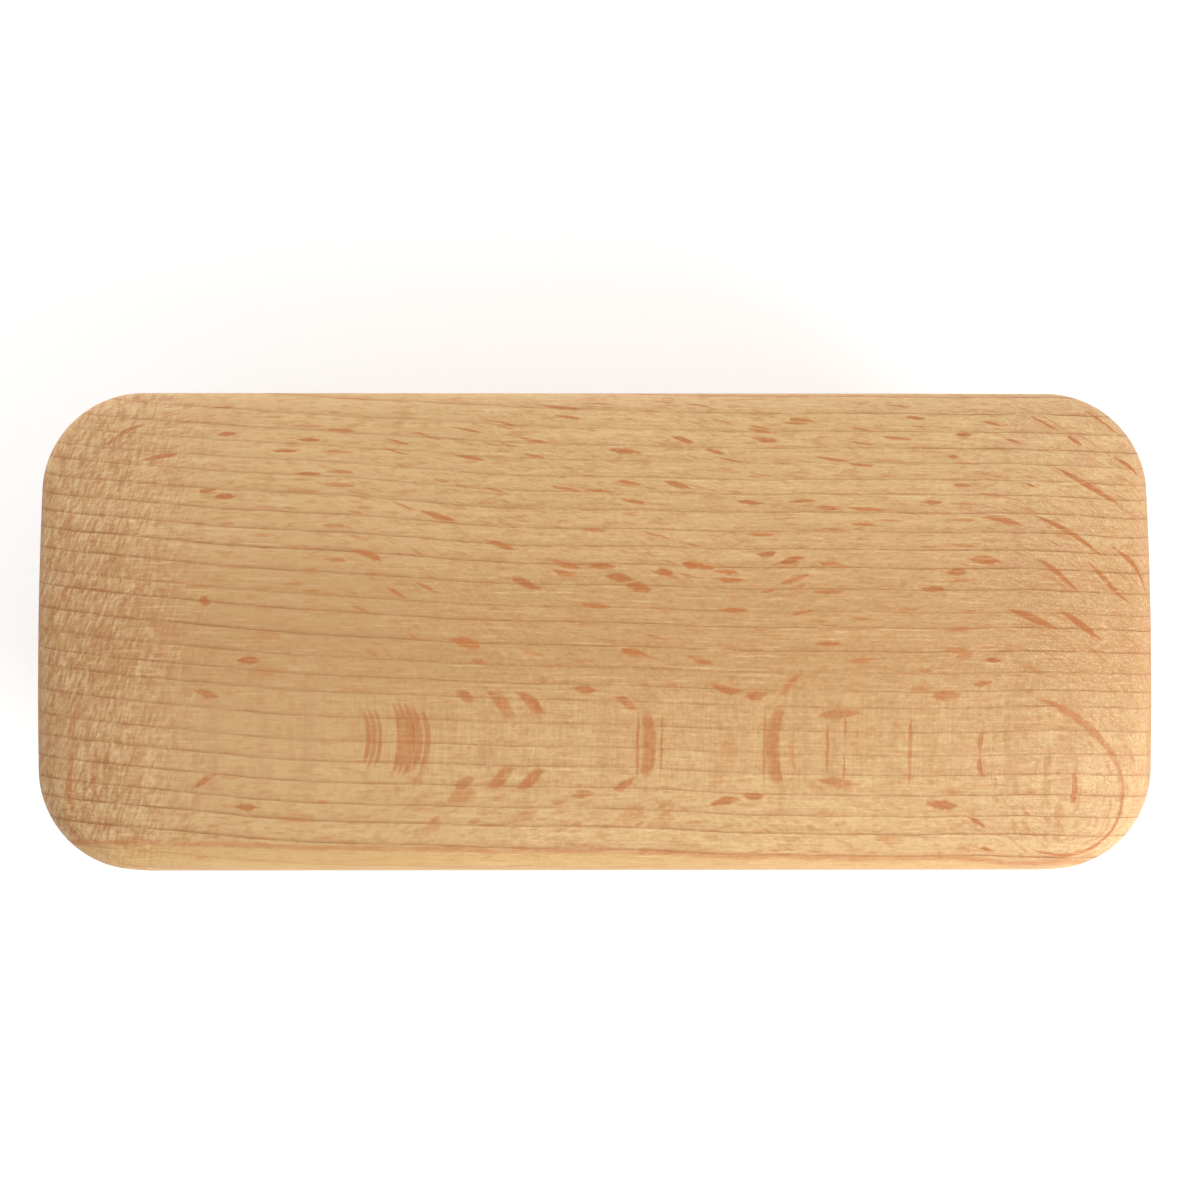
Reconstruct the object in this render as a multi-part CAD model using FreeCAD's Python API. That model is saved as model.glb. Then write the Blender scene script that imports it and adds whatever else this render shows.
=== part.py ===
"""A wooden nail brush: a crowned beech block, drilled from below, with a folded fibre tuft in every hole.

Frame, in millimetres: +X along the block, +Y across it, +Z up. The brush stands on its bristle tips, as it
does on a washbasin, and the origin is on that surface, under the middle of the block.
"""

import math
import os

import FreeCAD
import Part

Vector = FreeCAD.Vector

# Block: a rounded rectangle in plan, crowned across its width, with ends that ease down
block_length = 95.0
block_width = 41.0
block_thickness = 15.0
corner_radius = 8.5
crown_radius = 62.0
end_ease_length = 10.0
end_ease_radius = 30.0
end_slope_angle = 12.5
rim_radius = 2.8
foot_chamfer = 0.8

# Tuft pattern: staggered rows of blind holes, laid out from the edges of the drilled face
row_count = 4
long_row_count = 10
end_margin = 7.5
side_margin = 7.4
hole_diameter = 5.4
hole_depth = 9.0

# Tuft: a bundle of fibre folded in half, packed into its hole and spreading towards the trimmed tips
bristle_length = 17.0
tuft_side_count = 8
tuft_clearance = 0.05
tip_gap = 1.0
fold_flat_share = 0.45

# Anchor: a plate of flat wire that lies inside the fold and bites into the wood at both ends of the plate
anchor_thickness = 0.4
anchor_height = 1.8
anchor_bite = 0.4
anchor_clearance = 0.05
fold_thickness = 1.6

# Cutting bodies run this far past what they cut
overrun = 2.0

# Levels and places that follow from the sizes above
underside_z = bristle_length
top_z = underside_z + block_thickness
crown_axis_z = top_z - crown_radius
hole_radius = hole_diameter / 2
hole_end_z = underside_z + hole_depth
column_pitch = (block_length - 2 * end_margin) / (long_row_count - 1)
row_pitch = (block_width - 2 * side_margin) / (row_count - 1)
nearest_pitch = min(column_pitch, math.hypot(column_pitch / 2, row_pitch))
tuft_radius = hole_radius - tuft_clearance
tip_radius = (nearest_pitch - tip_gap) / 2
fold_half_flat = fold_flat_share * tuft_radius
anchor_length = hole_diameter + 2 * anchor_bite
anchor_top_z = hole_end_z - fold_thickness
anchor_low_z = anchor_top_z - anchor_height


def tuft_rows():
    """Returns, for each row, the (x, y) of its tufts. Every second row is one tuft longer: they stagger."""
    rows = []
    for row in range(row_count):
        count = long_row_count - 1 + row % 2
        y = (row - (row_count - 1) / 2) * row_pitch
        rows.append([((column - (count - 1) / 2) * column_pitch, y) for column in range(count)])
    return rows


def lowest_face(solid):
    """Returns the face of a solid that lies lowest."""
    return min(solid.Faces, key=lambda face: face.CenterOfMass.z)


def shared_edges(faces, other_faces):
    """Returns the edges along which two groups of faces meet."""
    other_edges = [edge for face in other_faces for edge in face.Edges]
    edges = [edge for face in faces for edge in face.Edges]
    return [edge for edge in edges if any(edge.isSame(other) for other in other_edges)]


def outline_face(points):
    """Returns the flat face inside a closed run of points."""
    return Part.Face(Part.makePolygon(points + points[:1]))


def straight_block():
    """Returns the sawn block: straight up from its plan, a rectangle with rounded corners."""
    box = Part.makeBox(
        block_length, block_width, block_thickness,
        Vector(-block_length / 2, -block_width / 2, underside_z),
    )
    upright = [edge for edge in box.Edges if edge.Vertexes[0].Z != edge.Vertexes[-1].Z]
    return box.makeFillet(corner_radius, upright)


def crown_body():
    """Returns the body whose upper face is the back of the brush.

    The back is turned about one axis far below it: a cylinder in the middle, which bends over a short arc
    into a shallow cone at each end.
    """
    slope = math.radians(end_slope_angle)
    ease_start_x = block_length / 2 - end_ease_length
    bend_x = ease_start_x + end_ease_radius * math.sin(slope / 2)
    bend_z = top_z - end_ease_radius * (1 - math.cos(slope / 2))
    cone_x = ease_start_x + end_ease_radius * math.sin(slope)
    cone_z = top_z - end_ease_radius * (1 - math.cos(slope))
    end_x = block_length / 2 + overrun
    end_z = cone_z - (end_x - cone_x) * math.tan(slope)
    edges = [
        Part.LineSegment(Vector(-end_x, 0, crown_axis_z), Vector(-end_x, 0, end_z)),
        Part.LineSegment(Vector(-end_x, 0, end_z), Vector(-cone_x, 0, cone_z)),
        Part.Arc(Vector(-cone_x, 0, cone_z), Vector(-bend_x, 0, bend_z), Vector(-ease_start_x, 0, top_z)),
        Part.LineSegment(Vector(-ease_start_x, 0, top_z), Vector(ease_start_x, 0, top_z)),
        Part.Arc(Vector(ease_start_x, 0, top_z), Vector(bend_x, 0, bend_z), Vector(cone_x, 0, cone_z)),
        Part.LineSegment(Vector(cone_x, 0, cone_z), Vector(end_x, 0, end_z)),
        Part.LineSegment(Vector(end_x, 0, end_z), Vector(end_x, 0, crown_axis_z)),
        Part.LineSegment(Vector(end_x, 0, crown_axis_z), Vector(-end_x, 0, crown_axis_z)),
    ]
    profile = Part.Face(Part.Wire([edge.toShape() for edge in edges]))
    half_turn = math.degrees(math.atan2(block_width / 2 + overrun, underside_z - crown_axis_z))
    axis_point = Vector(0, 0, crown_axis_z)
    axis = Vector(1, 0, 0)
    profile.rotate(axis_point, axis, -half_turn)
    return profile.revolve(axis_point, axis, 2 * half_turn)


def drilled_hole():
    """Returns one hole, bored with a flat-ended bit, on the origin's axis."""
    mouth_z = underside_z - overrun
    return Part.makeCylinder(hole_radius, hole_end_z - mouth_z, Vector(0, 0, mouth_z))


def flat_wire(length, thickness, low_z, high_z):
    """Returns a piece of flat wire along Y, on the origin's axis, between two levels."""
    corner = Vector(-thickness / 2, -length / 2, low_z)
    return Part.makeBox(thickness, length, high_z - low_z, corner)


def anchor():
    """Returns one anchor, as it lies across its hole."""
    return flat_wire(anchor_length, anchor_thickness, anchor_low_z, anchor_top_z)


def anchor_track():
    """Returns the tracks that the ends of an anchor cut into the wall of its hole on their way in."""
    return flat_wire(anchor_length, anchor_thickness, underside_z - overrun, anchor_top_z)


def set_at(shape, place):
    """Returns a copy of a shape, moved from the origin's axis to the (x, y) of a tuft."""
    copy = shape.copy()
    copy.translate(Vector(place[0], place[1], 0))
    return copy


def wooden_block(places):
    """Returns the finished block: crowned, rounded, drilled for its tufts and tracked by its anchors."""
    crowned = straight_block().common(crown_body()).Solids[0]
    underside = lowest_face(crowned)
    others = [face for face in crowned.Faces if not face.isSame(underside)]
    walls = [face for face in others if shared_edges([face], [underside])]
    back = [face for face in others if not shared_edges([face], [underside])]
    rounded = crowned.makeFillet(rim_radius, shared_edges(back, walls))
    shaped = rounded.makeChamfer(foot_chamfer, lowest_face(rounded).Edges)
    cuts = [set_at(drilled_hole(), place) for place in places]
    cuts += [set_at(anchor_track(), place) for place in places]
    return shaped.cut(cuts).Solids[0]


def bundle():
    """Returns the outer shape of a tuft: straight inside its hole, spreading from the mouth to the tips."""
    rings = [ring(tip_radius, 0), ring(tuft_radius, underside_z), ring(tuft_radius, hole_end_z)]
    faces = [outline_face(rings[0]), outline_face(rings[-1])]
    for lower, upper in zip(rings, rings[1:]):
        for corner in range(tuft_side_count):
            following = (corner + 1) % tuft_side_count
            faces.append(outline_face([lower[corner], lower[following], upper[following], upper[corner]]))
    return Part.Solid(Part.Shell(faces))


def ring(radius, z):
    """Returns the corners of a tuft's cross-section, a regular polygon with a flat side on each axis."""
    step = 2 * math.pi / tuft_side_count
    angles = [(corner + 0.5) * step for corner in range(tuft_side_count)]
    return [Vector(radius * math.cos(angle), radius * math.sin(angle), z) for angle in angles]


def fold_shoulder(side):
    """Returns the wedge that slants the fold on one side, +1 or -1, of the anchor."""
    outer_x = tuft_radius + overrun
    inner_x = fold_half_flat - overrun
    low_z = hole_end_z - (outer_x - fold_half_flat)
    high_z = hole_end_z + overrun
    profile = outline_face([
        Vector(side * inner_x, -outer_x, high_z),
        Vector(side * outer_x, -outer_x, low_z),
        Vector(side * outer_x, -outer_x, high_z),
    ])
    return profile.extrude(Vector(0, 2 * outer_x, 0))


def tuft():
    """Returns one tuft on the origin's axis, folded over its anchor and trimmed flat at the tips."""
    slot = flat_wire(
        anchor_length + overrun,
        anchor_thickness + 2 * anchor_clearance,
        anchor_low_z - anchor_clearance,
        anchor_top_z + anchor_clearance,
    )
    return bundle().cut([fold_shoulder(1), fold_shoulder(-1), slot]).Solids[0]


def main():
    os.makedirs("parts", exist_ok=True)
    rows = tuft_rows()
    places = [place for row in rows for place in row]
    wooden_block(places).exportStep("parts/wooden_block.step")
    one_tuft = tuft()
    for row_number, row in enumerate(rows, 1):
        for tuft_number, place in enumerate(row, 1):
            set_at(one_tuft, place).exportStep(f"parts/tuft_row{row_number}_{tuft_number:02d}.step")
    anchors = Part.makeCompound([set_at(anchor(), place) for place in places])
    anchors.exportStep("parts/anchor_plates.step")


main()
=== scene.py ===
"""Dresses the nail brush: bare beech block, fibre tufts, wire anchors, white table, light and camera."""
import math
import random
from types import SimpleNamespace

import bmesh
import bpy
from mathutils import Euler, Matrix, Vector


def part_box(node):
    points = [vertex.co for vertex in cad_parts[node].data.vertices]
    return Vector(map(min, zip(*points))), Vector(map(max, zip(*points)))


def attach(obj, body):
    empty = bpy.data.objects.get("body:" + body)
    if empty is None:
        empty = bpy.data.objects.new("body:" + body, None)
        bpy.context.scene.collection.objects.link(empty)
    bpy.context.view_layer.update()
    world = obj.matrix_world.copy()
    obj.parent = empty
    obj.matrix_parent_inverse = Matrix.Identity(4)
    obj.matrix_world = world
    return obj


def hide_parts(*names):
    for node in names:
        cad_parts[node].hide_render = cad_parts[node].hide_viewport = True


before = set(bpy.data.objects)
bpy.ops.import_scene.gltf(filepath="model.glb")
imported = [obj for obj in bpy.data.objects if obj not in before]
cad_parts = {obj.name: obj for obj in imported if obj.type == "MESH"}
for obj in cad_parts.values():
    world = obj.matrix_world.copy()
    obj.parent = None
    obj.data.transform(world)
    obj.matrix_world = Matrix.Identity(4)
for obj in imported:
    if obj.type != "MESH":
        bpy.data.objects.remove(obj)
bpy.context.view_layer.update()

MM = 0.001

# Sizes of the block in millimetres, the same as in the part's source
BLOCK_LENGTH = 95.0
BLOCK_WIDTH = 41.0
UNDERSIDE_Z = 17.0
TOP_Z = 32.0
CORNER_RADIUS = 8.5
CROWN_RADIUS = 62.0
END_EASE_LENGTH = 10.0
END_EASE_RADIUS = 30.0
END_SLOPE = math.radians(12.5)
RIM_RADIUS = 2.8
FOOT_CHAMFER = 0.8
HOLE_RADIUS = 2.7
HOLE_END_Z = 26.0
TRACK_REACH = 3.1
TRACK_HALF_WIDTH = 0.2

# Fineness of the block's mesh; the distance is in millimetres
CORNER_STEPS = 20
LONG_SIDE_STEPS = 64
SHORT_SIDE_STEPS = 20
RIM_STEPS = 12
BACK_RINGS = 26
HOLE_STEPS = 14
WELD_DISTANCE = 0.002
SHARP_ANGLE = math.radians(30)

# Loose fibres of a tuft, from their roots inside the hole to the trimmed tips; lengths are in millimetres
FIBRE_COUNT = 96
FIBRE_SIDES = 5
FIBRE_RADII = (0.17, 0.23)
FIBRE_TAPER = 0.22
FIBRE_BOW = 0.35
FIBRE_LEVELS = (0.0, 0.14, 0.35, 0.58, 0.8, 1.0)
ROOT_DEPTH = 3.0
MOUTH_REACH = 2.3
TIP_MARGIN = 0.1
TIP_HEIGHTS = (0.0, 0.35)
TIP_SPREAD = (0.86, 1.0)
TIP_SIDESTEP = 0.45
SPREAD_POWER = 1.25
# Each fibre stands one golden angle further round than the one before, give or take a little
GOLDEN_ANGLE = 2.399963
TURN_SCATTER = 0.25
# This share of the fibres is brown; tones run from 0, blond, to 1, brown
BROWN_SHARE = 0.22
BROWN_TONES = (0.75, 1.0)
BLOND_TONES = (0.0, 0.42)

# Directions in the tree, as rows: along the grain (l), from pith to bark (r) and round the tree (t)
TREE = Euler((math.radians(-9.2), 0.0, math.radians(1.0))).to_matrix()
RING_WIDTH = 1.78
# The rays are thin sheets along l and r, and they bend along the block.
# A bend sets in between two x, and between two y across the block, and rises by so much along t
WHOLE_WIDTH = (-30.0, -29.0)
RAY_BENDS = (
    ((-39.0, -47.5), (-14.0, -2.0), -1.2),
    ((-22.0, -12.0), WHOLE_WIDTH, -0.67),
    ((-14.0, 0.0), WHOLE_WIDTH, -0.4),
    ((0.0, 12.0), WHOLE_WIDTH, -0.45),
    ((13.8, 19.0), WHOLE_WIDTH, 0.3),
    ((-18.0, 2.0), (-4.0, 4.0), -0.6),
    ((0.0, 30.0), (4.0, 18.0), -2.0),
    ((33.0, 47.0), (-14.0, 4.0), -1.7),
)
# They lean across the block, by this much for each millimetre along it and by this much at its ends
RAY_LEAN = -0.0004
RAY_END_LEAN = -0.055
RAY_END_REACH = (30.0, 46.0)
# The broadest rays on the back: x and y of the middle, length along the grain and width across it
LANDMARK_RAYS = (
    # left end
    (-40.5, 16.5, 4.6, 0.6), (-37.0, 14.5, 4.0, 0.6), (-31.5, 16.5, 2.2, 0.5), (-24.5, 16.0, 2.2, 0.5),
    (-26.5, 15.0, 2.4, 0.4), (-33.0, 11.5, 1.8, 0.5), (-31.5, 11.0, 2.0, 0.7), (-33.0, 2.0, 1.4, 1.1),
    (-45.0, 2.5, 0.8, 1.4), (-44.0, -8.0, 1.4, 2.2), (-41.5, -12.5, 0.7, 4.0), (-42.5, -12.5, 1.2, 3.5),
    (-44.5, -12.5, 1.0, 4.0), (-31.8, 19.0, 2.6, 0.3), (-24.5, 13.0, 2.6, 0.4),
    # far side of the middle
    (-3.0, 19.0, 4.4, 0.6), (2.0, 15.0, 2.7, 0.6), (7.5, 16.0, 2.2, 0.6), (10.0, 15.0, 2.2, 0.5),
    (14.5, 16.0, 2.9, 0.6), (7.0, 12.0, 2.9, 0.7), (13.0, 10.5, 3.0, 0.5), (19.5, 10.0, 2.1, 0.6),
    # middle
    (-6.0, 3.5, 3.2, 0.9), (0.5, 5.0, 2.4, 0.8), (2.0, 4.0, 2.8, 1.0), (3.5, 3.2, 2.4, 1.2),
    (6.0, 4.5, 1.8, 0.6), (8.0, 5.0, 1.6, 0.7), (14.5, 6.0, 1.9, 0.7), (16.5, 5.5, 2.2, 0.9),
    # far side of the right end
    (27.5, 18.0, 2.2, 0.4), (34.0, 17.5, 2.4, 0.4), (38.5, 17.5, 2.8, 0.4), (43.5, 18.0, 4.0, 0.6),
    (31.5, 16.5, 2.2, 0.5), (35.5, 16.0, 1.8, 0.4), (41.0, 16.0, 2.0, 0.6), (30.5, 14.5, 1.4, 0.4),
    (45.5, 14.0, 2.6, 0.6), (31.0, 12.0, 1.7, 0.5), (37.0, 12.0, 1.6, 0.3), (42.0, 12.0, 7.0, 0.8),
    (28.5, 10.5, 2.2, 0.5), (34.5, 9.0, 4.2, 0.8), (40.0, 8.0, 7.0, 0.7),
    # right end
    (33.0, 5.5, 3.4, 1.0), (30.5, 4.5, 1.8, 0.8), (28.5, 3.0, 2.2, 0.7), (39.0, 4.5, 4.4, 0.8),
    (43.5, 3.5, 4.2, 0.9), (45.5, 5.5, 4.2, 0.8), (37.0, 0.5, 5.0, 1.0), (41.0, 0.0, 4.4, 1.0),
    (41.5, -8.5, 10.0, 1.2), (40.5, -13.0, 0.6, 2.0), (32.5, -5.0, 1.8, 0.6), (33.5, -3.0, 1.4, 0.6),
    # along the front band, where a sheet shows as a bar across the grain or as a pair of marks
    (-19.2, -10.0, 1.2, 2.6), (-18.7, -9.5, 1.4, 3.6), (-18.2, -9.2, 1.2, 2.8), (-16.5, -9.6, 1.6, 4.6),
    (-16.0, -9.3, 1.8, 3.8), (-15.5, -9.5, 1.8, 4.8), (-14.9, -9.8, 1.6, 3.6), (-14.3, -10.6, 1.2, 2.2),
    (-32.8, -5.8, 2.4, 0.8), (-29.3, -3.0, 2.4, 0.8), (19.5, -9.5, 0.3, 3.0), (21.0, -8.5, 0.3, 2.0),
    (26.5, -9.5, 0.4, 4.0), (4.5, -9.5, 1.7, 5.1), (14.9, -9.5, 2.2, 5.0), (32.5, -9.5, 0.7, 1.4),
    (3.5, -9.5, 0.3, 6.0), (5.5, -9.5, 0.3, 4.5), (14.2, -9.5, 0.3, 6.0), (-11.0, -6.0, 2.0, 1.2),
    (-8.0, -6.5, 2.8, 1.7), (-5.5, -6.5, 2.8, 1.5), (-1.0, -5.5, 2.4, 0.9), (2.5, -6.5, 2.2, 1.1),
    (11.0, -5.5, 3.2, 0.9), (13.5, -6.0, 2.2, 0.9), (20.5, -7.5, 4.2, 1.0), (29.5, -6.0, 3.2, 1.1),
)

# Light and table, in metres and watts; a lamp has a place, a width and a power
SKY_STRENGTH = 0.68
NEAR_LAMP = ((0.173, -0.132, 0.140), 0.15, 0.45)
FAR_LAMP = ((-0.21, 0.80, 0.22), 0.5, 3.4)
TABLE_REACH = 3.0
TABLE_COLOUR = (0.88, 0.88, 0.88, 1)
TABLE_GLOW = 0.45
TABLE_GAP = 0.05 * MM

# Camera, in millimetres and degrees
CAMERA_PLACE = (-3.54, -23.5, 316.6)
CAMERA_TILT = 5.137
CAMERA_SWING = -0.771
CAMERA_SENSOR = 36.0
CAMERA_LENS = 101.58


def srgb(red, green, blue):
    """A colour as it is seen on a screen, 0 to 255, in the linear form that shaders take."""
    linear = []
    for level in (red, green, blue):
        share = level / 255
        linear.append(share / 12.92 if share <= 0.04045 else ((share + 0.055) / 1.055) ** 2.4)
    return (*linear, 1.0)


# Beech, from its ground tones to its marks
PLAIN_WOOD = srgb(221, 180, 126)
PALE_WOOD = srgb(229, 188, 134)
# Darker middle: the wood's own heart tone, together with painted shade of the crowned top
HEART_TONE_AND_SHADE = srgb(200, 150, 98)
BLUSH = srgb(206, 150, 96)
LATE_WOOD = srgb(198, 142, 94)
FLUSH = srgb(210, 155, 114)
DARK_BEAD = srgb(186, 128, 82)
PALE_BEAD = srgb(234, 200, 154)
# Painted glints: pale specks of the fibre on the right end
PAINTED_GLINT = srgb(240, 212, 178)
FINE_RAY = srgb(200, 146, 92)
RING_LINE = srgb(158, 92, 48)
SMALL_RAY = srgb(202, 138, 82)
VEIL = srgb(205, 157, 109)
BROAD_RAY = srgb(200, 126, 70)
LANDMARK_RAY = srgb(191, 113, 59)
# Painted sheen of the fibre, as pale streaks along the grain
SHEEN_STREAK = srgb(230, 197, 146)
# Painted light of the lit front rim, in a yellower tone of the wood
FRONT_RIM_LIGHT = srgb(226, 181, 118)
FRONT_RING = srgb(200, 122, 72)
# End grain, with painted shade of the ends' rounded rims
END_GRAIN_AND_SHADE = srgb(150, 95, 50)
# How far the fibre's light and dark reach into red, green and blue
GRAIN_BY_CHANNEL = (0.75, 1.0, 1.3)
WOOD_RELIEF = 0.02 * MM
WOOD_SPECULAR = 0.3

BLOND_FIBRE = srgb(236, 210, 160)
BROWN_FIBRE = srgb(178, 136, 90)
FIBRE_GRAIN = srgb(166, 128, 82)
DULL_STEEL = srgb(176, 176, 178)
BRIGHT_STEEL = srgb(205, 205, 207)


class NodeBook:
    """Writes shader nodes as sums: most methods add a node or a few, and return an output socket."""

    def __init__(self, owner):
        owner.use_nodes = True
        self.tree = owner.node_tree
        self.tree.nodes.clear()

    def node(self, kind, **settings):
        made = self.tree.nodes.new(kind)
        for name, value in settings.items():
            setattr(made, name, value)
        return made

    def feed(self, socket, value):
        if isinstance(value, bpy.types.NodeSocket):
            self.tree.links.new(value, socket)
        else:
            socket.default_value = value

    def math(self, operation, *values):
        made = self.node("ShaderNodeMath", operation=operation)
        for socket, value in zip(made.inputs, values):
            self.feed(socket, value)
        return made.outputs[0]

    def add(self, *values):
        result = values[0]
        for value in values[1:]:
            result = self.math("ADD", result, value)
        return result

    def mul(self, *values):
        result = values[0]
        for value in values[1:]:
            result = self.math("MULTIPLY", result, value)
        return result

    def sub(self, a, b):
        return self.math("SUBTRACT", a, b)

    def square(self, value):
        return self.math("MULTIPLY", value, value)

    def size_of(self, value):
        return self.math("ABSOLUTE", value)

    def vector_math(self, operation, first, second, output="Vector"):
        made = self.node("ShaderNodeVectorMath", operation=operation)
        self.feed(made.inputs[0], first)
        self.feed(made.inputs[1], second)
        return made.outputs[output]

    def dot(self, vector, direction):
        return self.vector_math("DOT_PRODUCT", vector, direction, "Value")

    def vector(self, x, y, z):
        made = self.node("ShaderNodeCombineXYZ")
        for socket, value in zip(made.inputs, (x, y, z)):
            self.feed(socket, value)
        return made.outputs[0]

    def split(self, vector):
        made = self.node("ShaderNodeSeparateXYZ")
        self.feed(made.inputs[0], vector)
        return made.outputs[0], made.outputs[1], made.outputs[2]

    def object_place(self):
        """The point of the surface in millimetres."""
        place = self.node("ShaderNodeTexCoord").outputs["Object"]
        return self.vector_math("MULTIPLY", place, (1 / MM, 1 / MM, 1 / MM))

    def ramp(self, value, low, high, out_low=0.0, out_high=1.0):
        """A smooth step from out_low at low to out_high at high."""
        made = self.node("ShaderNodeMapRange", interpolation_type="SMOOTHSTEP")
        for socket, number in zip(made.inputs[:5], (value, low, high, out_low, out_high)):
            self.feed(socket, number)
        return made.outputs[0]

    def fade(self, region, outside, inside):
        """A share that goes from one value outside a region to another inside it."""
        return self.ramp(region, 0, 1, outside, inside)

    def noise(self, vector, sizes, detail=2.0, roughness=0.5):
        """Smooth noise from -0.5 to 0.5, whose features have these sizes along the three directions."""
        made = self.node("ShaderNodeTexNoise", noise_dimensions="3D")
        shares = tuple(1 / size for size in sizes)
        self.feed(made.inputs["Vector"], self.vector_math("MULTIPLY", vector, shares))
        made.inputs["Scale"].default_value = 1.0
        made.inputs["Detail"].default_value = detail
        made.inputs["Roughness"].default_value = roughness
        return self.sub(made.outputs["Fac"], 0.5)

    def noise_along(self, value, size, detail=1.0):
        """Smooth noise about 0 along one measure."""
        made = self.node("ShaderNodeTexNoise", noise_dimensions="1D")
        self.feed(made.inputs["W"], value)
        made.inputs["Scale"].default_value = 1 / size
        made.inputs["Detail"].default_value = detail
        return self.sub(made.outputs["Fac"], 0.5)

    def random_of(self, value):
        """A random number from 0 to 1, always the same for the same value."""
        made = self.node("ShaderNodeTexWhiteNoise", noise_dimensions="1D")
        self.feed(made.inputs["W"], value)
        return made.outputs["Value"]

    def spindles(self, place, pitch, half_sizes, seed):
        """Scattered flat spindles, one about every pitch: above 0 inside one, and up to 1 in the thickest.

        The three directions are along a spindle, across its flat and through it.
        """
        shares = tuple(1 / size for size in pitch)
        spot = self.vector_math("MULTIPLY", place, shares)
        spot = self.vector_math("ADD", spot, (seed, seed, seed))
        cells = self.node("ShaderNodeTexVoronoi", voronoi_dimensions="3D", feature="F1")
        self.feed(cells.inputs["Vector"], spot)
        cells.inputs["Scale"].default_value = 1.0
        cells.inputs["Randomness"].default_value = 0.85
        away = self.vector_math("SUBTRACT", spot, cells.outputs["Position"])
        reach = tuple(size / half for size, half in zip(pitch, half_sizes))
        along, across, through = self.split(self.vector_math("MULTIPLY", away, reach))
        chance, _, _ = self.split(cells.outputs["Color"])
        taper = self.add(self.square(along), self.square(across), self.size_of(through))
        return self.sub(chance, taper)

    def blend(self, share, first, second, mode="MIX"):
        made = self.node("ShaderNodeMix", data_type="RGBA", blend_type=mode)
        colours = [socket for socket in made.inputs if socket.type == "RGBA"]
        self.feed(made.inputs[0], share)
        self.feed(colours[0], first)
        self.feed(colours[1], second)
        return next(socket for socket in made.outputs if socket.type == "RGBA")

    def shader(self, colour, roughness, bump=None, bump_distance=0.0):
        """A plain surface; returns its shader node, for settings that the others do without."""
        principled = self.node("ShaderNodeBsdfPrincipled")
        self.feed(principled.inputs["Base Color"], colour)
        self.feed(principled.inputs["Roughness"], roughness)
        if bump is not None:
            relief = self.node("ShaderNodeBump")
            relief.inputs["Strength"].default_value = 1.0
            relief.inputs["Distance"].default_value = bump_distance
            self.feed(relief.inputs["Height"], bump)
            self.feed(principled.inputs["Normal"], relief.outputs["Normal"])
        output = self.node("ShaderNodeOutputMaterial")
        self.feed(output.inputs["Surface"], principled.outputs[0])
        return principled

    def lit_and_seen(self, lit, seen, output_kind):
        """Ends in one shader for the light, and another for rays from the camera, gloss and glass."""
        path = self.node("ShaderNodeLightPath")
        share = self.math("MAXIMUM", path.outputs["Is Camera Ray"], path.outputs["Is Glossy Ray"])
        share = self.math("MAXIMUM", share, path.outputs["Is Transmission Ray"])
        mix = self.node("ShaderNodeMixShader")
        self.feed(mix.inputs["Fac"], share)
        self.feed(mix.inputs[1], lit.outputs[0])
        self.feed(mix.inputs[2], seen.outputs[0])
        output = self.node(output_kind)
        self.feed(output.inputs["Surface"], mix.outputs[0])


def back_height(x, y):
    """Height of the crowned back over a point of the plan, before its rim is rounded."""
    run = abs(x) - (BLOCK_LENGTH / 2 - END_EASE_LENGTH)
    arc_run = END_EASE_RADIUS * math.sin(END_SLOPE)
    if run <= 0:
        drop = 0.0
    elif run <= arc_run:
        drop = END_EASE_RADIUS - math.sqrt(END_EASE_RADIUS ** 2 - run ** 2)
    else:
        drop = END_EASE_RADIUS * (1 - math.cos(END_SLOPE)) + (run - arc_run) * math.tan(END_SLOPE)
    return TOP_Z - CROWN_RADIUS + math.sqrt((CROWN_RADIUS - drop) ** 2 - y ** 2)


def smooth_step(value, low, high):
    """The same smooth step from 0 to 1 as a shader's ramp."""
    share = min(max((value - low) / (high - low), 0.0), 1.0)
    return share * share * (3 - 2 * share)


def ray_level(x, y):
    """Which sheet of the rays meets the back over a point of the plan."""
    bends = [rise * smooth_step(x, *along) * smooth_step(y, *across) for along, across, rise in RAY_BENDS]
    lean = RAY_LEAN * x + RAY_END_LEAN * smooth_step(abs(x), *RAY_END_REACH)
    return TREE[2].dot(Vector((x, y, back_height(x, y)))) + sum(bends) + lean * y


def ray_sheets(book, x, y, t):
    """The same level as ray_level, at any point of the wood."""
    bends = []
    for along, across, rise in RAY_BENDS:
        bend = book.ramp(x, *along, 0.0, rise)
        bends.append(bend if across == WHOLE_WIDTH else book.mul(bend, book.ramp(y, *across)))
    end_lean = book.ramp(book.size_of(x), *RAY_END_REACH, 0.0, RAY_END_LEAN)
    lean = book.add(end_lean, book.mul(x, RAY_LEAN))
    return book.add(t, *bends, book.mul(lean, y))


def landmark_rays(book, l, t_ray):
    """The broadest rays: each is a spindle in its sheet, 1 in its middle and below 0 outside it."""
    nudge = 0.25
    nearest = -1.0
    for x, y, length, width in LANDMARK_RAYS:
        middle_l = TREE[0].dot(Vector((x, y, back_height(x, y))))
        middle_t = ray_level(x, y)
        slope = (ray_level(x, y + nudge) - ray_level(x, y - nudge)) / (2 * nudge)
        half_length = length / 2
        half_width = width / 2
        half_thickness = half_width * abs(slope) + half_width ** 2 / (2 * CROWN_RADIUS)
        along = book.math("MULTIPLY_ADD", l, 1 / half_length, -middle_l / half_length)
        through = book.math("MULTIPLY_ADD", t_ray, 1 / half_thickness, -middle_t / half_thickness)
        outward = book.math("MULTIPLY_ADD", along, along, book.size_of(through))
        nearest = book.math("MAXIMUM", nearest, book.sub(1.0, outward))
    return nearest


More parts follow.
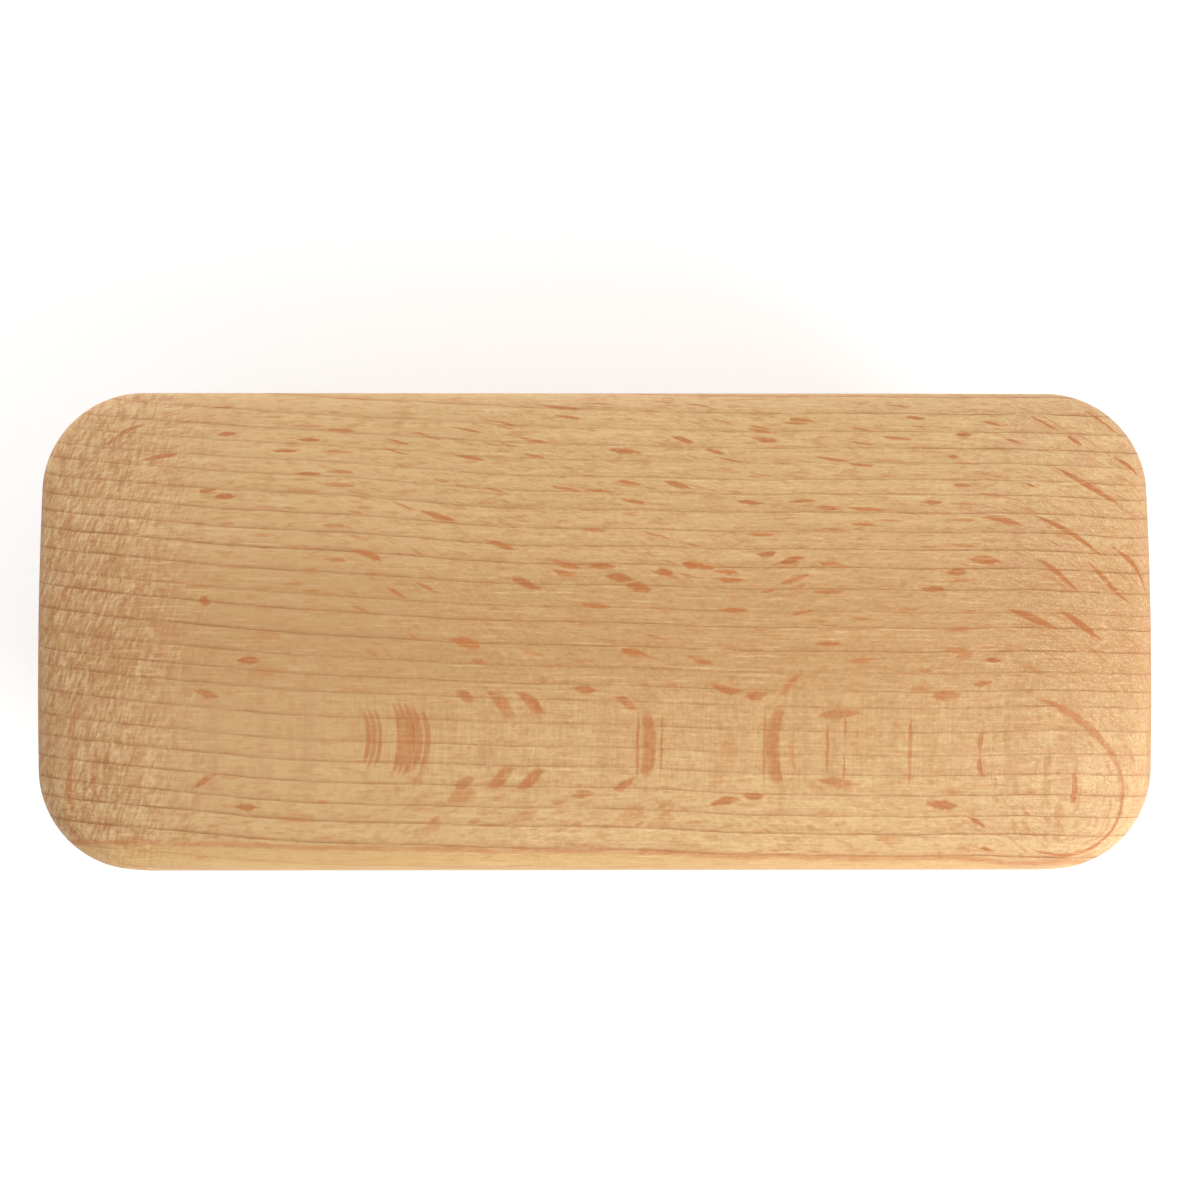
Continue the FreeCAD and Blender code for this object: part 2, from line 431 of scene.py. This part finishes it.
def growth_rings(book, x, r, tree):
    """Growth rings: the number of the ring, and how far through it a point is, from 0 to 1."""
    wander = book.mul(book.noise(tree, (28, 28, 28), detail=1.0), 1.4)
    ripple = book.mul(book.noise(tree, (4, 9, 9), detail=2.0, roughness=0.6), 0.24)
    fall_on_left = book.mul(book.square(book.math("MINIMUM", x, 0.0)), -0.0010)
    r_ring = book.add(r, fall_on_left, wander, ripple)
    closer = book.mul(book.square(book.math("MAXIMUM", r_ring, 0.0)), 0.004)
    unevenness = book.mul(book.noise_along(r_ring, 4.5), 1.1)
    ring = book.add(book.mul(r_ring, 1 / RING_WIDTH), closer, unevenness)
    number = book.math("FLOOR", ring)
    return number, book.sub(ring, number)


def wood_regions(book):
    """The point of the wood, in the block's directions and the tree's, and the block's regions, 0 to 1."""
    place = book.object_place()
    x, y, z = book.split(place)
    l, r, t = (book.dot(place, direction) for direction in TREE)
    wood = SimpleNamespace(place=place, x=x, y=y, z=z, l=l, r=r, t=t, tree=book.vector(l, r, t))
    wood.left = book.ramp(x, -22, -42)
    wood.right = book.ramp(x, 20, 42)
    wood.end = book.math("MAXIMUM", wood.left, wood.right)
    # The front band, where the back lies along the sheets of the rays
    wood.band = book.ramp(book.size_of(book.add(y, 9.8)), 6.0, 2.5)
    # The left end, where the grain comes up to the surface and shows as beads
    wood.beaded = book.ramp(x, -30, -42)
    # The sides, below the rim
    wood.wall = book.ramp(z, 26.5, 24.5)
    # Darker along the middle of the back: partly the wood's heart tone, partly painted shade of the top
    wood.heart = book.ramp(book.size_of(book.add(y, 2.0)), 17, 0)
    wood.far_left = book.mul(book.ramp(y, 8, 15), book.ramp(x, 20, 0))
    # The left half beside the beads, where the fibre is even
    wood.calm = book.mul(book.ramp(x, -5, -22), book.sub(1.0, wood.beaded))
    return wood


def add_rings(book, wood):
    """Adds the ring lines: soft on the left, faint on the far side, and thin and dark on the right."""
    wood.ring_number, ring_share = growth_rings(book, wood.x, wood.r, wood.tree)
    wood.ring_chance = book.random_of(wood.ring_number)
    wood.line = book.ramp(ring_share, book.ramp(wood.x, -30, 25, 0.19, 0.12), 0.0)
    wood.late_wood = book.ramp(ring_share, 0.6, 0.0)
    wood.ring_spot = book.vector(wood.l, book.mul(wood.ring_number, 7.0), 0.0)
    wood.patch = book.ramp(book.noise(wood.ring_spot, (5, 1, 1)), -0.2, 0.2, 0.55, 1.0)
    wood.ring_strength = book.mul(book.fade(wood.ring_chance, 0.55, 1.0), wood.patch)
    strength = book.add(0.6, book.mul(wood.left, 0.15), book.mul(wood.right, 0.35), book.mul(wood.band, 0.1))
    wood.line_strength = book.mul(strength, book.fade(wood.far_left, 1.0, 0.65))


def add_rays(book, wood):
    """Adds the rays, landmarks and scattered ones, of which the smaller shift by ring, and the beads."""
    t_ray = ray_sheets(book, wood.x, wood.y, wood.t)
    ragged = book.noise(wood.tree, (0.4, 0.8, 0.8), detail=2.0, roughness=0.6)
    ragged = book.mul(ragged, book.ramp(book.size_of(book.add(wood.y, 10.0)), 0, 18, 0.01, 0.07))
    ragged_t = book.add(t_ray, ragged)
    ragged_l = book.noise(wood.tree, (0.8, 0.5, 0.5), detail=2.0, roughness=0.6)
    ragged_l = book.add(wood.l, book.mul(ragged_l, book.fade(wood.band, 1.2, 0.25)))
    wood.landmark = landmark_rays(book, ragged_l, ragged_t)
    jog = book.mul(book.random_of(book.add(wood.ring_number, 0.5)), 0.3)
    wood.ray_place = book.vector(wood.l, wood.r, book.add(ragged_t, jog))
    broad_place = book.vector(ragged_l, wood.r, ragged_t)
    wood.broad = book.spindles(broad_place, pitch=(2.8, 20, 0.44), half_sizes=(1.8, 9, 0.11), seed=3.7)
    wood.small = book.spindles(wood.ray_place, pitch=(1.8, 12, 0.26), half_sizes=(0.9, 6, 0.05), seed=8.3)
    wood.fine = book.spindles(wood.ray_place, pitch=(0.9, 8, 0.10), half_sizes=(0.6, 6, 0.05), seed=15.1)
    bead_place = book.vector(book.add(wood.x, book.mul(wood.y, -0.3), jog), wood.y, wood.z)
    wood.bead = book.noise(bead_place, (0.28, 1.3, 1.3), detail=2.0, roughness=0.6)


def add_fibre(book, wood):
    """Adds the fibre: the finest rays, streaks along the grain, lines across it and slow clouds of tone."""
    wood.speckle = book.noise(wood.ray_place, (0.5, 0.4, 0.06), detail=2.0, roughness=0.7)
    wood.streak = book.noise(wood.tree, (3.5, 0.2, 0.2), detail=3.0, roughness=0.6)
    wood.hatch = book.noise(wood.tree, (0.2, 2.5, 0.6), detail=2.0, roughness=0.6)
    # Fine noise for the pale specks at the right end, which are painted glints of the fibre
    wood.grit = book.noise(wood.place, (0.2, 0.16, 0.16), detail=1.0)
    wood.blush = book.noise(wood.tree, (1.6, 0.45, 0.45), detail=2.0, roughness=0.6)
    wood.cloud = book.noise(wood.tree, (22, 7, 7), detail=2.0)


def ground_layers(book, wood):
    """Shares and colours of the soft tones, from the first laid on to the last."""
    late_share = book.mul(wood.late_wood, wood.ring_strength, book.fade(wood.end, 0.4, 0.45))
    flush = book.ramp(book.noise(wood.place, (2.5, 1.5, 1.5)), -0.05, 0.2)
    return [
        # Painted shade and heart tone: darker along the middle
        (book.mul(wood.heart, book.fade(wood.band, 0.6, 0.42)), HEART_TONE_AND_SHADE),
        (book.ramp(wood.blush, 0.0, 0.18, 0.0, 0.6), BLUSH),
        (late_share, LATE_WOOD),
        (book.mul(flush, wood.end, 0.5), FLUSH),
        (book.mul(book.ramp(wood.bead, 0.0, -0.14), wood.beaded, 0.6), DARK_BEAD),
        (book.mul(book.ramp(wood.bead, 0.02, 0.14), wood.beaded, 0.6), PALE_BEAD),
        # Painted glints: pale specks on the right end, which faces the near lamp
        (book.mul(book.ramp(wood.grit, 0.02, 0.16), wood.right, 0.4), PAINTED_GLINT),
    ]


def mark_layers(book, wood):
    """Shares and colours of the rays, the ring lines and painted sheen streaks over them, in their order."""
    fine_share = book.mul(book.ramp(wood.fine, 0.0, 0.4), book.fade(wood.end, 0.25, 0.55))
    line_share = book.mul(wood.line, wood.ring_strength, wood.line_strength)
    small_share = book.mul(book.ramp(wood.small, 0.0, 0.4), book.fade(wood.late_wood, 0.35, 0.9))
    small_share = book.mul(small_share, book.fade(wood.band, 1.0, 0.3), book.fade(wood.far_left, 1.0, 1.3))
    veil = book.ramp(book.noise_along(wood.l, 2.6, detail=2.0), -0.05, 0.2)
    # Scattered broad rays thin out near the front, though not on the sides, and towards both ends
    broad_share = book.mul(book.ramp(wood.broad, 0.0, 0.55), book.fade(wood.band, 0.9, 0.45))
    off_front = book.math("MAXIMUM", wood.wall, book.ramp(wood.y, -17, -13, 0.3, 1.0))
    off_left = book.ramp(wood.x, -18, -30, 1.0, 0.35)
    off_right = book.fade(wood.right, 1.0, 0.45)
    broad_share = book.mul(broad_share, off_front, off_left, off_right)
    # Landmarks belong to the back, so they end at the sides; in the band they are hatched and break at rings
    landmark_share = book.mul(book.ramp(wood.landmark, 0.0, 0.55), book.fade(wood.band, 0.86, 0.92))
    landmark_share = book.mul(landmark_share, book.ramp(wood.x, -38.0, -41.5, 1.0, 0.7))
    hatched = book.ramp(wood.hatch, -0.2, 0.2, book.fade(wood.band, 0.88, 0.6), 1.0)
    landmark_share = book.mul(landmark_share, hatched, book.sub(1.0, wood.wall))
    ring_break = book.ramp(book.noise(wood.ring_spot, (1.5, 1, 1)), 0.15, -0.15, 0.0, 0.35)
    landmark_share = book.mul(landmark_share, book.sub(1.0, book.mul(ring_break, wood.band)))
    # Pale streaks along the grain: painted sheen of the fibre
    sheen_share = book.mul(book.ramp(wood.streak, 0.06, 0.25), book.fade(wood.band, 0.5, 0.25))
    return [
        (fine_share, FINE_RAY),
        (line_share, RING_LINE),
        (small_share, SMALL_RAY),
        (book.mul(veil, wood.band, 0.5), VEIL),
        (broad_share, BROAD_RAY),
        (landmark_share, LANDMARK_RAY),
        (sheen_share, SHEEN_STREAK),
    ]


def edge_layers(book, wood):
    """Rim shares and colours: a reddish front ring, painted light outside it, end grain and painted shade.
    """
    front = book.add(wood.y, 19.1, book.mul(wood.x, 0.023), book.mul(book.noise(wood.tree, (6, 6, 6)), 0.8))
    front_line = book.ramp(book.size_of(front), 0.35, 0.05, 0.0, 0.6)
    # Darker at the outer edge of both ends: end grain, and painted shade of the rounded rim, deepest on the
    # left
    left_rim = book.ramp(wood.x, -46.7, -47.4, 0.0, 0.45)
    right_rim = book.ramp(wood.x, 46.6, 47.4, 0.0, 0.25)
    return [
        # Painted light on the front rim and wall outside the reddish ring, in a yellower tone
        (book.ramp(front, 0.0, -0.4, 0.0, 0.5), FRONT_RIM_LIGHT),
        (book.mul(front_line, wood.patch), FRONT_RING),
        (book.add(left_rim, right_rim), END_GRAIN_AND_SHADE),
    ]


def fibre_level(book, wood):
    """How much the fibre lightens or darkens the wood, about 0."""
    weave = book.mul(wood.hatch, wood.band, book.ramp(wood.x, -30, -10, 0.1, 0.4))
    speckle_share = book.mul(book.fade(wood.beaded, 0.58, 0.8), book.fade(wood.calm, 1.0, 0.38))
    streak_share = book.fade(wood.calm, 0.52, 0.3)
    grain = book.add(book.mul(wood.speckle, speckle_share), book.mul(wood.streak, streak_share))
    return book.add(grain, weave, book.mul(wood.band, 0.03))


def beech_material():
    """Bare beech as a solid texture: growth rings, rays and fibre in the tree's own directions.

    The grain runs along the block and the rays lie nearly level, so the crowned back grazes their sheets.
    It cuts them into flecks on the far half, lies along them near the front and bends them into arcs at
    the ends.
    """
    material = bpy.data.materials.new("bare beech")
    book = NodeBook(material)
    wood = wood_regions(book)
    add_rings(book, wood)
    add_rays(book, wood)
    add_fibre(book, wood)
    tint = book.ramp(book.add(book.mul(wood.ring_chance, 0.4), book.mul(wood.cloud, 1.2)), -0.1, 0.6)
    colour = book.blend(tint, PLAIN_WOOD, PALE_WOOD)
    # These layers include painted shade, painted light, painted sheen and painted glints as well as the
    # wood's own marks
    for share, layer in ground_layers(book, wood) + mark_layers(book, wood) + edge_layers(book, wood):
        colour = book.blend(share, colour, layer)
    grain = fibre_level(book, wood)
    level = book.vector(*(book.math("MULTIPLY_ADD", grain, share, 1.0) for share in GRAIN_BY_CHANNEL))
    colour = book.blend(1.0, colour, level, mode="MULTIPLY")
    roughness = book.ramp(wood.speckle, -0.3, 0.3, 0.62, 0.5)
    height = book.add(book.mul(wood.speckle, 0.8), book.mul(wood.streak, 0.4), book.mul(wood.line, -0.25))
    principled = book.shader(colour, roughness, height, WOOD_RELIEF)
    principled.inputs["Specular IOR Level"].default_value = WOOD_SPECULAR
    return material


def fibre_material():
    """Stiff plant fibre: mostly straw blond with some brown strands, each with its own tone."""
    material = bpy.data.materials.new("bristle fibre")
    book = NodeBook(material)
    tone = book.node("ShaderNodeAttribute", attribute_name="tone").outputs["Fac"]
    grain = book.noise(book.object_place(), (0.3, 0.3, 1.2))
    straw = book.blend(tone, BLOND_FIBRE, BROWN_FIBRE)
    colour = book.blend(book.ramp(grain, -0.2, 0.4, 0.0, 0.4), straw, FIBRE_GRAIN)
    book.shader(colour, book.ramp(grain, -0.2, 0.2, 0.38, 0.55))
    return material


def wire_material():
    """Drawn steel wire with faint lengthwise streaks."""
    material = bpy.data.materials.new("anchor wire")
    book = NodeBook(material)
    streak = book.noise(book.object_place(), (0.1, 3.0, 0.1))
    colour = book.blend(book.ramp(streak, -0.3, 0.3), DULL_STEEL, BRIGHT_STEEL)
    principled = book.shader(colour, book.ramp(streak, -0.3, 0.3, 0.25, 0.42))
    principled.inputs["Metallic"].default_value = 1.0
    return material


def plan_outline():
    """Points round the block's plan with their outward directions: rounded corners and straight sides."""
    centre_x = BLOCK_LENGTH / 2 - CORNER_RADIUS
    centre_y = BLOCK_WIDTH / 2 - CORNER_RADIUS
    corners = [(centre_x, centre_y), (-centre_x, centre_y), (-centre_x, -centre_y), (centre_x, -centre_y)]
    outline = []
    for number, corner in enumerate(corners):
        for step in range(CORNER_STEPS + 1):
            angle = math.pi / 2 * (number + step / CORNER_STEPS)
            outward = Vector((math.cos(angle), math.sin(angle)))
            outline.append((Vector(corner) + outward * CORNER_RADIUS, outward))
        following = Vector(corners[(number + 1) % 4])
        steps = LONG_SIDE_STEPS if number % 2 == 0 else SHORT_SIDE_STEPS
        for step in range(1, steps):
            centre = Vector(corner).lerp(following, step / steps)
            outline.append((centre + outward * CORNER_RADIUS, outward))
    return outline


def rim_section(spot, outward):
    """Inset and height of the rounded rim over one point of the plan, from the wall to the back."""
    lean = 0.0
    nudge = 0.01
    tries = 5
    for _ in range(tries):
        inset = RIM_RADIUS * (1 - math.sin(lean))
        inner = spot - outward * inset
        outer = inner + outward * nudge
        lean = math.atan2(back_height(inner.x, inner.y) - back_height(outer.x, outer.y), nudge)
    centre_z = back_height(inner.x, inner.y) - RIM_RADIUS * math.cos(lean)
    section = []
    for step in range(RIM_STEPS + 1):
        angle = (math.pi / 2 - lean) * step / RIM_STEPS
        section.append((RIM_RADIUS * (1 - math.cos(angle)), centre_z + RIM_RADIUS * math.sin(angle)))
    return section


def hole_outline(place):
    """Points round the mouth of one hole, with the two tracks that its anchor cuts."""
    edge = math.asin(TRACK_HALF_WIDTH / HOLE_RADIUS)
    points = []
    for side in (1, -1):
        for step in range(HOLE_STEPS + 1):
            angle = -math.pi / 2 + edge + (math.pi - 2 * edge) * step / HOLE_STEPS
            points.append((side * HOLE_RADIUS * math.cos(angle), side * HOLE_RADIUS * math.sin(angle)))
        points.append((side * TRACK_HALF_WIDTH, side * TRACK_REACH))
        points.append((-side * TRACK_HALF_WIDTH, side * TRACK_REACH))
    return [Vector((place[0] + x, place[1] + y)) for x, y in points]


def add_point(mesh, flat, height):
    """Adds a point of the mesh over a point of the plan, given in millimetres."""
    return mesh.verts.new((flat.x * MM, flat.y * MM, height * MM))


def join_rings(mesh, lower, upper):
    """Faces between two closed rings of as many points."""
    for number in range(len(lower)):
        after = (number + 1) % len(lower)
        mesh.faces.new((lower[number], lower[after], upper[after], upper[number]))


def block_rings(mesh):
    """Adds the rings of points round the block: foot, wall, rim, and the back up to its middle line."""
    outline = plan_outline()
    foot = [(FOOT_CHAMFER, UNDERSIDE_Z)] * len(outline)
    wall = [(0.0, UNDERSIDE_Z + FOOT_CHAMFER)] * len(outline)
    rim = zip(*(rim_section(spot, outward) for spot, outward in outline))
    rings = []
    for row in [foot, wall, *rim]:
        ring = []
        for (spot, outward), (inset, height) in zip(outline, row):
            ring.append(add_point(mesh, spot - outward * inset, height))
        rings.append(ring)
    spine_reach = (BLOCK_LENGTH - BLOCK_WIDTH) / 2
    rim_points = [Vector((vert.co.x, vert.co.y)) / MM for vert in rings[-1]]
    for step in range(1, BACK_RINGS + 1):
        ring = []
        for point in rim_points:
            spine = Vector((max(-spine_reach, min(spine_reach, point.x)), 0.0))
            flat = point.lerp(spine, step / BACK_RINGS)
            ring.append(add_point(mesh, flat, back_height(flat.x, flat.y)))
        rings.append(ring)
    return rings


def drill_holes(mesh, hole_places):
    """Adds the walls and the flat ends of the holes, and returns the rings of points at their mouths."""
    mouths = []
    for place in hole_places:
        points = hole_outline(place)
        mouth = [add_point(mesh, point, UNDERSIDE_Z) for point in points]
        floor = [add_point(mesh, point, HOLE_END_Z) for point in points]
        join_rings(mesh, mouth, floor)
        mesh.faces.new(floor)
        mouths.append(mouth)
    return mouths


def mesh_object(name, mesh, material):
    """Turns a finished mesh into an object of the scene."""
    data = bpy.data.meshes.new(name)
    mesh.to_mesh(data)
    mesh.free()
    data.materials.append(material)
    made = bpy.data.objects.new(name, data)
    bpy.context.scene.collection.objects.link(made)
    return made


def block_piece(material, hole_places):
    """Builds the block finely: crowned back, rolled rim, walls, chamfered foot and drilled underside."""
    mesh = bmesh.new()
    rings = block_rings(mesh)
    for lower, upper in zip(rings, rings[1:]):
        join_rings(mesh, lower, upper)
    underside_edges = []
    for loop in [rings[0]] + drill_holes(mesh, hole_places):
        underside_edges += [mesh.edges.get((a, b)) for a, b in zip(loop, loop[1:] + loop[:1])]
    bmesh.ops.triangle_fill(mesh, use_beauty=True, edges=underside_edges)
    bmesh.ops.remove_doubles(mesh, verts=mesh.verts, dist=WELD_DISTANCE * MM)
    bmesh.ops.recalc_face_normals(mesh, faces=mesh.faces)
    for face in mesh.faces:
        face.smooth = True
    piece = mesh_object("beech_block", mesh, material)
    piece.data.set_sharp_from_angle(angle=SHARP_ANGLE)
    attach(piece, "root")
    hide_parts("wooden_block")


def tuft_place(node):
    """Middle of a tuft in the plan, in millimetres."""
    low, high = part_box(node)
    return ((low[0] + high[0]) / 2 / MM, (low[1] + high[1]) / 2 / MM)


def draw_tone(draw):
    """Draws the tone of one fibre: brown for a few, blond for the others."""
    share = draw.random()
    low, high = BROWN_TONES if draw.random() < BROWN_SHARE else BLOND_TONES
    return low + (high - low) * share


def add_loose_fibre(mesh, tone_layer, draw, centre, tip_reach, number):
    """Adds one fibre: straight in its hole, then bowed and spread outwards, and cut off at its tip."""
    mouth_z = UNDERSIDE_Z * MM
    root_z = mouth_z + ROOT_DEPTH * MM
    turn = number * GOLDEN_ANGLE + draw.uniform(-TURN_SCATTER, TURN_SCATTER)
    share = math.sqrt((number + 0.5) / FIBRE_COUNT)
    across = Vector((math.cos(turn), math.sin(turn), 0))
    aside = Vector((-across.y, across.x, 0))
    radius = draw.uniform(*FIBRE_RADII) * MM
    tip_z = draw.uniform(*TIP_HEIGHTS) * MM
    mouth_out = share * MOUTH_REACH * MM
    tip_out = share * tip_reach * draw.uniform(*TIP_SPREAD)
    tip_side = draw.uniform(-TIP_SIDESTEP, TIP_SIDESTEP) * MM
    bow = draw.uniform(-FIBRE_BOW, FIBRE_BOW) * MM
    tone = draw_tone(draw)
    rings = []
    for share_down in FIBRE_LEVELS:
        z = root_z + (tip_z - root_z) * share_down
        below = max(0.0, (mouth_z - z) / mouth_z)
        out = mouth_out + (tip_out - mouth_out) * below ** SPREAD_POWER
        side = tip_side * below + bow * math.sin(math.pi * below)
        spot = centre + Vector((0, 0, z)) + across * out + aside * side
        thick = radius * (1.0 - FIBRE_TAPER * below)
        ring = []
        for corner in range(FIBRE_SIDES):
            angle = 2 * math.pi * corner / FIBRE_SIDES + turn
            vert = mesh.verts.new(spot + Vector((math.cos(angle), math.sin(angle), 0)) * thick)
            vert[tone_layer] = tone
            ring.append(vert)
        rings.append(ring)
    for upper, lower in zip(rings, rings[1:]):
        join_rings(mesh, lower, upper)
    mesh.faces.new(rings[0])
    mesh.faces.new(list(reversed(rings[-1])))


def tuft_piece(node, material, seed):
    """Builds one tuft's loose fibres in the space of its solid: packed at the mouth, spread at the tips."""
    draw = random.Random(seed)
    low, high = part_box(node)
    centre = Vector((*tuft_place(node), 0)) * MM
    tip_reach = (high[0] - low[0]) / 2 - TIP_MARGIN * MM
    mesh = bmesh.new()
    tone_layer = mesh.verts.layers.float.new("tone")
    for number in range(FIBRE_COUNT):
        add_loose_fibre(mesh, tone_layer, draw, centre, tip_reach, number)
    for face in mesh.faces:
        face.smooth = len(face.verts) == 4
    mesh.normal_update()
    piece = mesh_object(f"fibres_{node}", mesh, material)
    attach(piece, "root")
    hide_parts(node)


def white_table():
    """A table that is white to the camera and plainly pale to the light, so that it keeps the shadow."""
    reach = TABLE_REACH
    corners = [(-reach, -reach, 0), (reach, -reach, 0), (reach, reach, 0), (-reach, reach, 0)]
    data = bpy.data.meshes.new("table")
    data.from_pydata(corners, [], [(0, 1, 2, 3)])
    table = bpy.data.objects.new("table", data)
    table.location.z = -TABLE_GAP
    bpy.context.scene.collection.objects.link(table)
    material = bpy.data.materials.new("white table")
    book = NodeBook(material)
    plain = book.node("ShaderNodeBsdfDiffuse")
    plain.inputs["Color"].default_value = TABLE_COLOUR
    glow = book.node("ShaderNodeEmission")
    glow.inputs["Strength"].default_value = TABLE_GLOW
    both = book.node("ShaderNodeAddShader")
    book.feed(both.inputs[0], plain.outputs[0])
    book.feed(both.inputs[1], glow.outputs[0])
    book.lit_and_seen(plain, both, "ShaderNodeOutputMaterial")
    data.materials.append(material)


def soft_lamp(name, place, size, watts):
    """A square soft box that faces the brush."""
    data = bpy.data.lights.new(name, "AREA")
    data.shape = "SQUARE"
    data.size = size
    data.energy = watts
    lamp = bpy.data.objects.new(name, data)
    lamp.location = place
    aim = Vector((0, 0, TOP_Z * MM)) - Vector(place)
    lamp.rotation_euler = aim.to_track_quat("-Z", "Y").to_euler()
    bpy.context.scene.collection.objects.link(lamp)


def daylight():
    """An even pale sky, a soft lamp low on the near right, and a larger one beyond the far side."""
    world = bpy.data.worlds.new("sky")
    bpy.context.scene.world = world
    book = NodeBook(world)
    sky = book.node("ShaderNodeBackground")
    sky.inputs["Strength"].default_value = SKY_STRENGTH
    book.lit_and_seen(sky, book.node("ShaderNodeBackground"), "ShaderNodeOutputWorld")
    soft_lamp("near lamp", *NEAR_LAMP)
    soft_lamp("far lamp", *FAR_LAMP)


def photo_camera():
    """The photograph's camera: close above the brush, a little to its front, tilted back to face it."""
    data = bpy.data.cameras.new("camera")
    data.sensor_width = CAMERA_SENSOR
    data.lens = CAMERA_LENS
    camera = bpy.data.objects.new("camera", data)
    tilt = Matrix.Rotation(math.radians(CAMERA_TILT), 4, "X")
    swing = Matrix.Rotation(math.radians(CAMERA_SWING), 4, "Y")
    camera.matrix_world = Matrix.Translation(Vector(CAMERA_PLACE) * MM) @ tilt @ swing
    bpy.context.scene.collection.objects.link(camera)
    bpy.context.scene.camera = camera


tufts = sorted(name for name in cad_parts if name.startswith("tuft_"))
block_piece(beech_material(), [tuft_place(node) for node in tufts])
fibre = fibre_material()
for seed, node in enumerate(tufts):
    tuft_piece(node, fibre, seed)
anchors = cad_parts["anchor_plates"].data
anchors.materials.clear()
anchors.materials.append(wire_material())
white_table()
daylight()
photo_camera()
bpy.context.scene.view_settings.view_transform = "Standard"
